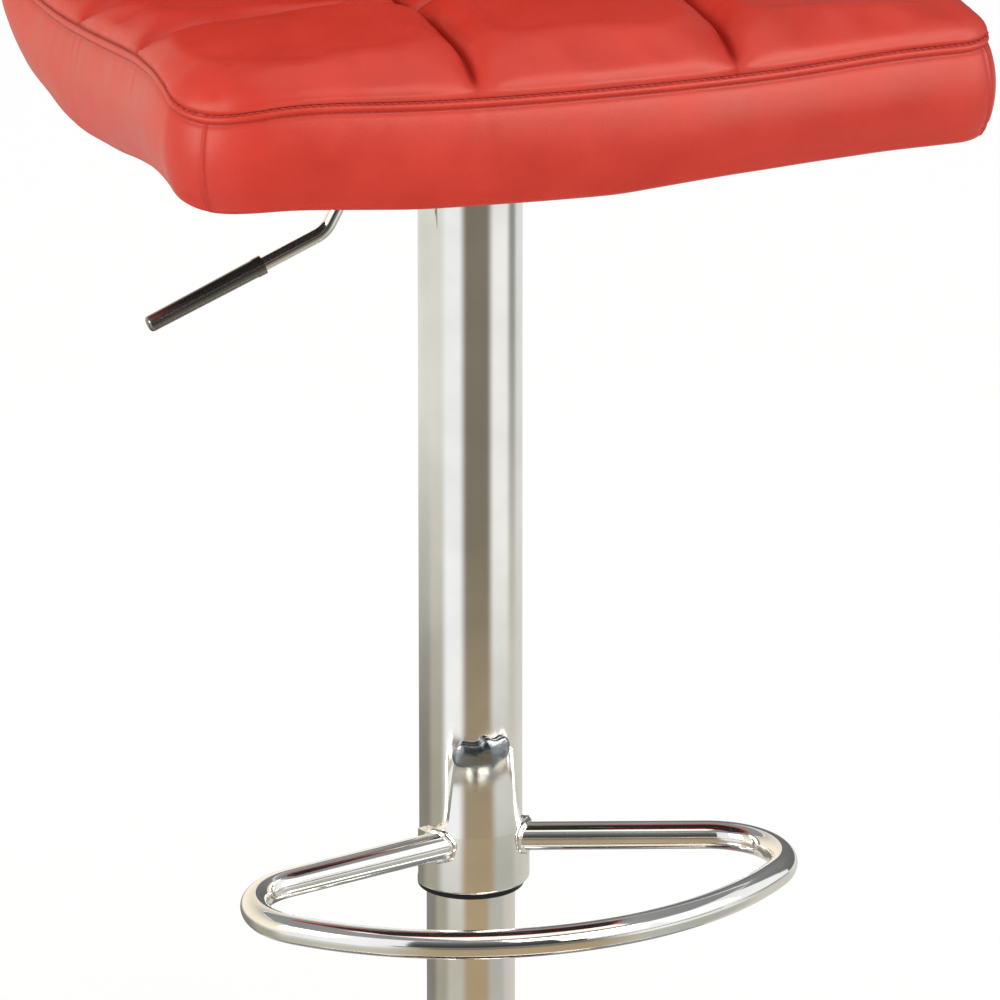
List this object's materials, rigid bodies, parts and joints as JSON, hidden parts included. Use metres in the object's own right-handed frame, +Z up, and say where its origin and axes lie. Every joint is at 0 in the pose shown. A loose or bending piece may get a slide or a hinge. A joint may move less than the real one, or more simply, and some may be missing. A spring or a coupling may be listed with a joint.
{
  "type": "adjustable swivel stool",
  "caption": "Backed swivel stool with a quilted seat on a chrome gas-lift column, D-shaped footrest, height lever and round floor base.",
  "frame": {"origin": "on the floor, under the column's axis", "axes": "+Z up along the column, the seat faces -Y, the lever points to -X (the sitter's right)"},
  "size_m": [0.4482, 0.4872, 1.0253],
  "materials": {
    "chrome": "polished",
    "steel": "satin",
    "black_metal": "satin",
    "ballast_iron": "matte",
    "black_rubber": "matte",
    "black_plastic": "satin",
    "grip_plastic": "gloss",
    "plywood": "matte",
    "red_leatherette": "satin leatherette over foam",
    "black_cloth": "matte"
  },
  "bodies": {
    "base": {"base_shell": "chrome", "base_weight": "ballast_iron", "base_socket": "steel", "floor_ring": "black_rubber", "stand_tube": "chrome", "upper_guide": "black_plastic", "thrust_washer": "steel", "bearing_cage": "black_plastic", "bearing_balls": "steel"},
    "rod": {"bearing_race": "steel", "piston_rod": "steel", "piston": "steel", "piston_ring": "black_rubber", "rod_clip": "steel", "stop_sleeve": "black_plastic", "bumper": "black_rubber"},
    "seat": {"gas_cylinder": "black_metal", "rod_guide": "black_plastic", "cover_tube": "chrome", "cover_bush": "black_plastic", "footrest_saddle": "chrome", "footrest_ring": "chrome", "taper_hub": "black_metal", "seat_plate": "black_metal", "lever_bracket": "black_metal", "lever_pin": "steel", "seat_bolts": "steel", "bolt_washers": "steel", "tee_nuts": "steel", "seat_shell": "plywood", "seat_cushion": "red_leatherette", "back_cushion": "red_leatherette", "rear_panel": "red_leatherette", "dust_cover": "black_cloth"},
    "lever": {"lever_rod": "chrome", "lever_grip": "grip_plastic"},
    "valve": {"valve_pin": "steel"}
  },
  "joints": [
    {"name": "seat_swivel", "type": "hinge", "parent": "base", "child": "rod", "pos_m": [0, 0, 0.025], "axis": [0, 0, 1], "continuous": true},
    {"name": "seat_lift", "type": "slide", "parent": "rod", "child": "seat", "axis": [0, 0, 1], "range_m": [-0.05, 0.15]},
    {"name": "seat_lever", "type": "hinge", "parent": "seat", "child": "lever", "pos_m": [-0.03, 0, 0.625], "axis": [0, 1, 0], "range_deg": [0, 8], "stiffness_Nm_per_rad": 3, "springref_deg": -5.73},
    {"name": "valve_press", "type": "slide", "parent": "seat", "child": "valve", "axis": [0, 0, -1], "range_m": [0, 0.0046]}
  ],
  "couplings": [
    {"joint": "valve_press", "follows": "seat_lever", "m_per_rad": 0.0315}
  ]
}
